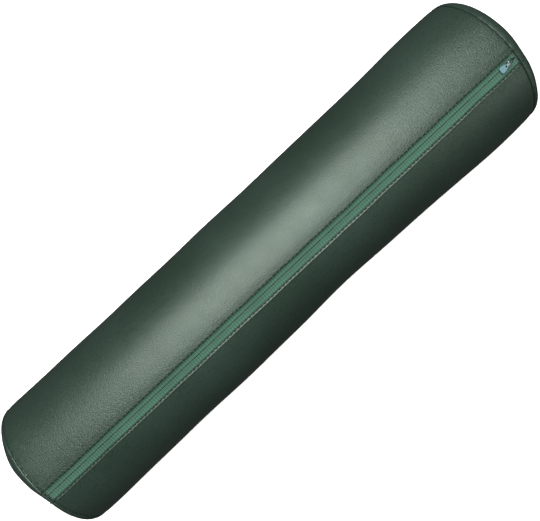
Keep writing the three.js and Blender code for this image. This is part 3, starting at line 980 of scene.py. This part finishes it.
def slider_body(metal, painted_highlight_metal):
    """Two wings joined by a post, flanges round the chain, and the bridge that holds the pull. The
    faces above the upper wing take a lighter copy of the nickel as a painted highlight; the rest keep
    the darker copy, painted shade."""
    wing, over_tape = 0.8 * MM, 0.3 * MM
    rear, front = slider_low.x, slider_high.x
    half_width = slider_high.y
    lower_top = slider_low.z + wing
    upper_low = AXIS_HEIGHT + TAPE_TOP + over_tape
    upper_top = upper_low + wing
    plan = pear(rear, front, half_width * 0.86, half_width, squareness=3.2)
    body = extruded("slider", plan, upper_low, upper_top, 0.22 * MM, metal)
    lower = extruded("slider_lower", plan, slider_low.z, lower_top, 0.2 * MM, metal)
    body = combined(body, lower, "UNION")

    post_half, post_rear, post_front = 0.28 * MM, front - 2.7 * MM, front - 0.7 * MM
    post_low = (post_rear, -post_half, lower_top - BITE)
    post_high = (post_front, post_half, upper_low + BITE)
    body = combined(body, rounded_box("slider_post", post_low, post_high, 0, metal), "UNION")
    flange_inner, flange_outer, flange_inset = 2.75 * MM, 3.1 * MM, 1.3 * MM
    flange_top = coil_high.z + 0.1 * MM
    for side in (-1, 1):
        low_y, high_y = sorted((side * flange_inner, side * flange_outer))
        low = (rear + flange_inset, low_y, lower_top - BITE)
        high = (front - flange_inset, high_y, flange_top)
        flange = rounded_box("slider_flange", low, high, 0.08 * MM, metal)
        body = combined(body, flange, "UNION")
    body = combined(body, slider_bridge(upper_top, metal), "UNION")
    body.data.shade_smooth()
    # The bridge's faces above the upper wing get the lighter copy of the nickel: a painted highlight on
    # the slider's top.
    body.data.materials.append(painted_highlight_metal)
    for face in body.data.polygons:
        if face.center.z > upper_top + 0.05 * MM:
            face.material_index = 1
    body.name = "slider"
    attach(body, "slider")
    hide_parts("slider_body")
    return body


def slider_bridge(wing_top, metal):
    """The arch over the upper wing that the pull's pin turns under."""
    half_width, bar = 0.58 * MM, 0.75 * MM
    rear, front = PIN.x - 3.6 * MM, PIN.x + 1.9 * MM
    foot = wing_top - BITE
    middle, reach, rise = (rear + front) / 2, (front - rear) / 2, slider_high.z - foot
    turn = np.linspace(0, math.pi, 26)
    squareness = 0.55
    along = -np.sign(np.cos(turn)) * np.abs(np.cos(turn)) ** squareness
    height = np.abs(np.sin(turn)) ** squareness
    outer = np.stack([middle + reach * along, foot + rise * height], axis=1)
    inner = np.stack([middle + (reach - bar) * along, foot + (rise - bar) * height], axis=1)
    outline = np.concatenate([outer, inner[::-1]])
    arch = extruded("slider_bridge", outline, -half_width, half_width, 0, metal)
    arch.data.transform(STAND_UP)
    return bevelled(arch, 0.14 * MM, 2)


def pull_tab(enamel):
    """Tear-drop pull: a window for the bridge, a pin across it, and a dished grip."""
    low, high = pull_low.z + 0.02 * MM, pull_low.z + 0.85 * MM
    grip_half, neck_half = pull_high.y, 1.5 * MM
    rear, front = pull_low.x + 1.5 * MM, PIN.x + 0.6 * MM
    outline = tear_drop(rear, front, grip_half, neck_half)
    pull = extruded("pull", outline, low, high, 0.2 * MM, enamel)
    beyond = 1 * MM  # how far the shapes that cut the pull stand out of it
    window_half, window_rear = 0.8 * MM, PIN.x - 4.4 * MM
    window_low = (window_rear, -window_half, low - beyond)
    window_high = (front + beyond, window_half, high + beyond)
    window = rounded_box("pull_window", window_low, window_high, 0, enamel)
    pull = combined(pull, window, "DIFFERENCE")
    dish_depth, rim = 0.2 * MM, 0.9 * MM
    dish_outline = tear_drop(rear + rim, window_rear - 1 * MM, grip_half - rim, 1.1 * MM)
    dish = extruded("pull_dish", dish_outline, high - dish_depth, high + beyond, 0.1 * MM, enamel)
    pull = combined(pull, dish, "DIFFERENCE")
    radius, turn = 0.38 * MM, round_angles(20)[0]
    pin_outline = np.stack([PIN.x + radius * np.cos(turn), radius * np.sin(turn)], axis=1)
    pin = extruded("pull_pin", pin_outline, -neck_half, neck_half, 0, enamel)
    pin.data.transform(Matrix.Translation((0, 0, PIN.z)) @ STAND_UP)
    pull = combined(pull, pin, "UNION")
    pull.data.shade_smooth()
    pull.name = "pull"
    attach(pull, "pull")
    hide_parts("pull_tab")
    return pull


def tear_drop(rear, front, grip_half, neck_half):
    """Outline with a round wide end at the rear that narrows to a neck at the front."""
    t = np.linspace(0, 1, 40)
    from_rear = np.minimum(1, (front - rear) * t / (0.7 * grip_half))
    round_end = np.sqrt(1 - (1 - from_rear) ** 3)
    half = (grip_half + (neck_half - grip_half) * ramp(t, 0.25, 0.85)) * round_end
    upper = np.stack([rear + (front - rear) * t, half], axis=1)
    lower = upper[:0:-1] * (1, -1)
    return np.concatenate([upper[1:], lower, upper[:1]])


# ---- Inside the cover ----

WADDING = 1.2 * MM
WADDING_GAP = 0.25 * MM  # between the foam and the wadding


def foam_radius(x, angle):
    """The core's radius: it gives way where the cover holds it in."""
    room = 3.2 * MM  # for the wadding and for the cover's unevenness
    held = roll_radius(x, angle) - LEATHER - room
    return np.minimum(core_high.y - 0.2 * MM, held)


def foam_end(side, angle, shares):
    """Rows of points over one domed end of the core, which fills out its end panel."""
    room = 4.0 * MM  # under the end panel
    x = ENDS[side]["sign"] * (SEAM_X + dome_out(side, angle, SEAM_RADIUS * shares) - room)
    return on_roll(x, angle, foam_radius(x, angle) * shares)


def foam_roll(foam):
    """The firm core, with domed ends."""
    sectors = 120
    straight_end = SEAM_X - 8 * MM
    angle = round_angles(sectors)
    shares = np.sin(np.linspace(0.02, math.pi / 2, 16))[:, None]
    straight = np.linspace(-straight_end, straight_end, 90)[:, None]
    points = np.concatenate([
        foam_end("left", angle, shares),
        on_roll(straight, angle, foam_radius(straight, angle)),
        foam_end("right", angle, shares[::-1]),
    ])
    rows = len(points)
    faces = grid_faces(rows, sectors, ring=True, flip=True).tolist()
    caps = [list(range(sectors)), list(range((rows - 1) * sectors, rows * sectors))[::-1]]
    made = make_object("foam_roll", points, faces + caps, foam)
    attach(made, "roll")
    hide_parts("foam_core")
    return made


def wadding_wrap(wadding):
    """The thin wadding round the core, open under the zip."""
    x = np.linspace(wrap_low.x, wrap_high.x, 220)[:, None]
    opening_half = 16.4 * MM
    edge = math.asin(opening_half / core_high.y)
    angle = np.linspace(edge, 2 * math.pi - edge, 150)[None, :]
    inner_radius = foam_radius(x, angle) + WADDING_GAP
    soft = 0.25 * MM * waves(x + 0.03 * np.cos(5 * angle), (0.02, 0.09), 7, SEED + 90)
    near_edge = np.minimum(angle - edge, 2 * math.pi - edge - angle) * core_high.y
    thickness = WADDING * (0.3 + 0.7 * ramp(near_edge, 0, 3 * MM)) + soft
    outer = on_roll(x, angle, inner_radius + np.maximum(thickness, 0.2 * MM))
    inner = on_roll(x, angle, inner_radius)
    floor_gap = LEATHER + 0.3 * MM
    for layer in (outer, inner):
        layer[..., 2] = np.maximum(layer[..., 2], floor_gap)
    made = sheet_solid("wadding", outer, inner, wadding, flip=True)
    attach(made, "roll")
    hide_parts("core_wrap")
    return made


# ---- Stage, light and camera ----

CAMERA_TILT = math.radians(15)  # from straight above, towards +Y
CAMERA_DISTANCE = 0.652  # from the roll's axis
CAMERA_X = 0.002  # where on the axis it looks
CAMERA_ROLL = math.radians(43.2)  # +X points this far above the picture's right
LENS = 40.4
SENSOR = 36.0


def camera():
    """Looks down on the roll from a little behind it, tilted so that +X points up and right."""
    data = bpy.data.cameras.new("camera")
    data.lens = LENS
    data.sensor_width = SENSOR
    data.clip_start = 0.01
    made = linked("camera", data)
    back = Vector((0, math.sin(CAMERA_TILT), math.cos(CAMERA_TILT)))
    along = Vector((1, 0, 0))
    uphill = back.cross(along)
    right = along * math.cos(CAMERA_ROLL) - uphill * math.sin(CAMERA_ROLL)
    up = along * math.sin(CAMERA_ROLL) + uphill * math.cos(CAMERA_ROLL)
    target = Vector((CAMERA_X, 0, AXIS_HEIGHT))
    turn = Matrix((right, up, back)).transposed().to_4x4()
    made.matrix_world = Matrix.Translation(target + back * CAMERA_DISTANCE) @ turn
    bpy.context.scene.camera = made


def softbox(name, angle, distance, size, power, x):
    """A rectangular light that faces the roll's middle, at an angle from the top towards +Y and
    at x along the roll."""
    data = bpy.data.lights.new(name, "AREA")
    data.shape = "RECTANGLE"
    data.size, data.size_y = size
    data.energy = power
    made = linked(name, data)
    place = Vector((x, distance * math.sin(angle), distance * math.cos(angle)))
    direction = place.normalized()
    side = Vector((1, 0, 0))
    across = direction.cross(side).normalized()
    side = across.cross(direction)
    turn = Matrix((side, across, direction)).transposed().to_4x4()
    made.matrix_world = Matrix.Translation(Vector((0, 0, AXIS_HEIGHT)) + place) @ turn


def lights():
    """A wide light above and behind, a faint one beyond the right end, and a dim surround."""
    softbox("key_light", math.radians(31), distance=1.25, size=(1.2, 1.2), power=44, x=0.05)
    softbox("end_light", math.radians(-40), distance=1.1, size=(0.5, 0.5), power=2.0, x=0.9)
    world = bpy.data.worlds.new("studio")
    bpy.context.scene.world = world
    world.use_nodes = True
    background = world.node_tree.nodes["Background"]
    background.inputs["Color"].default_value = (0.9, 0.95, 0.93, 1)
    background.inputs["Strength"].default_value = 0.08


def floor():
    """A wide flat disc that curves up into a wall all round, well beyond the lights."""
    flat, wall, sectors = 4.0, 4.5, 96
    cap, below = 0.01, 0.3 * MM
    turn = np.linspace(0, math.pi / 2, 16)
    radius = np.concatenate([[cap, flat / 2], flat + wall * np.sin(turn)])[:, None]
    height = np.concatenate([[0, 0], wall * (1 - np.cos(turn))])[:, None] - below
    angle = round_angles(sectors)
    sides = (radius * np.cos(angle), radius * np.sin(angle), height)
    points = np.stack(np.broadcast_arrays(*sides), axis=-1)
    faces = grid_faces(len(radius), sectors, ring=True).tolist() + [list(range(sectors))]
    made = make_object("floor", points, faces, floor_material())
    made.visible_glossy = False
    made.visible_diffuse = False


# ---- Everything ----

camera()
lights()
floor()

leather = leather_material()
tape = tape_material()
nylon = coil_material()
thread = spun_material("thread_dark_green", 2200.0, (0.004, 0.012, 0.008), (0.014, 0.032, 0.022), 0.15)
spun_cord = spun_material("filler_cord_green", 2500.0, (0.035, 0.10, 0.065), (0.06, 0.16, 0.10), 0.5)
# Two copies of one nickel: a darker one for the slider's wings and body, painted shade, and a lighter
# one for its bridge, a painted highlight.
nickel_painted_shade = hard_material("slider_nickel_painted_shade", 1.0, (0.09, 0.13, 0.12), (0.14, 0.18, 0.17), 0.45)
nickel_painted_highlight = hard_material("slider_nickel_painted_highlight", 1.0, (0.42, 0.47, 0.47), (0.5, 0.55, 0.54), 0.36)
enamel = hard_material("pull_pale_blue", 0.0, (0.085, 0.17, 0.20), (0.13, 0.21, 0.225), 0.34)

leather_wrap(leather)
for name in ENDS:
    end_panel(name, leather)
    seam_stitches(name, thread)
for name in SIDES:
    zip_tape(name, tape)
    zip_coil(name, nylon)
    filler_cord(name, spun_cord)
    topstitch(name, thread)
slider_body(nickel_painted_shade, nickel_painted_highlight)
pull_tab(enamel)
foam_roll(foam_material())
wadding_wrap(wadding_material())

bpy.context.scene.view_settings.view_transform = "Standard"
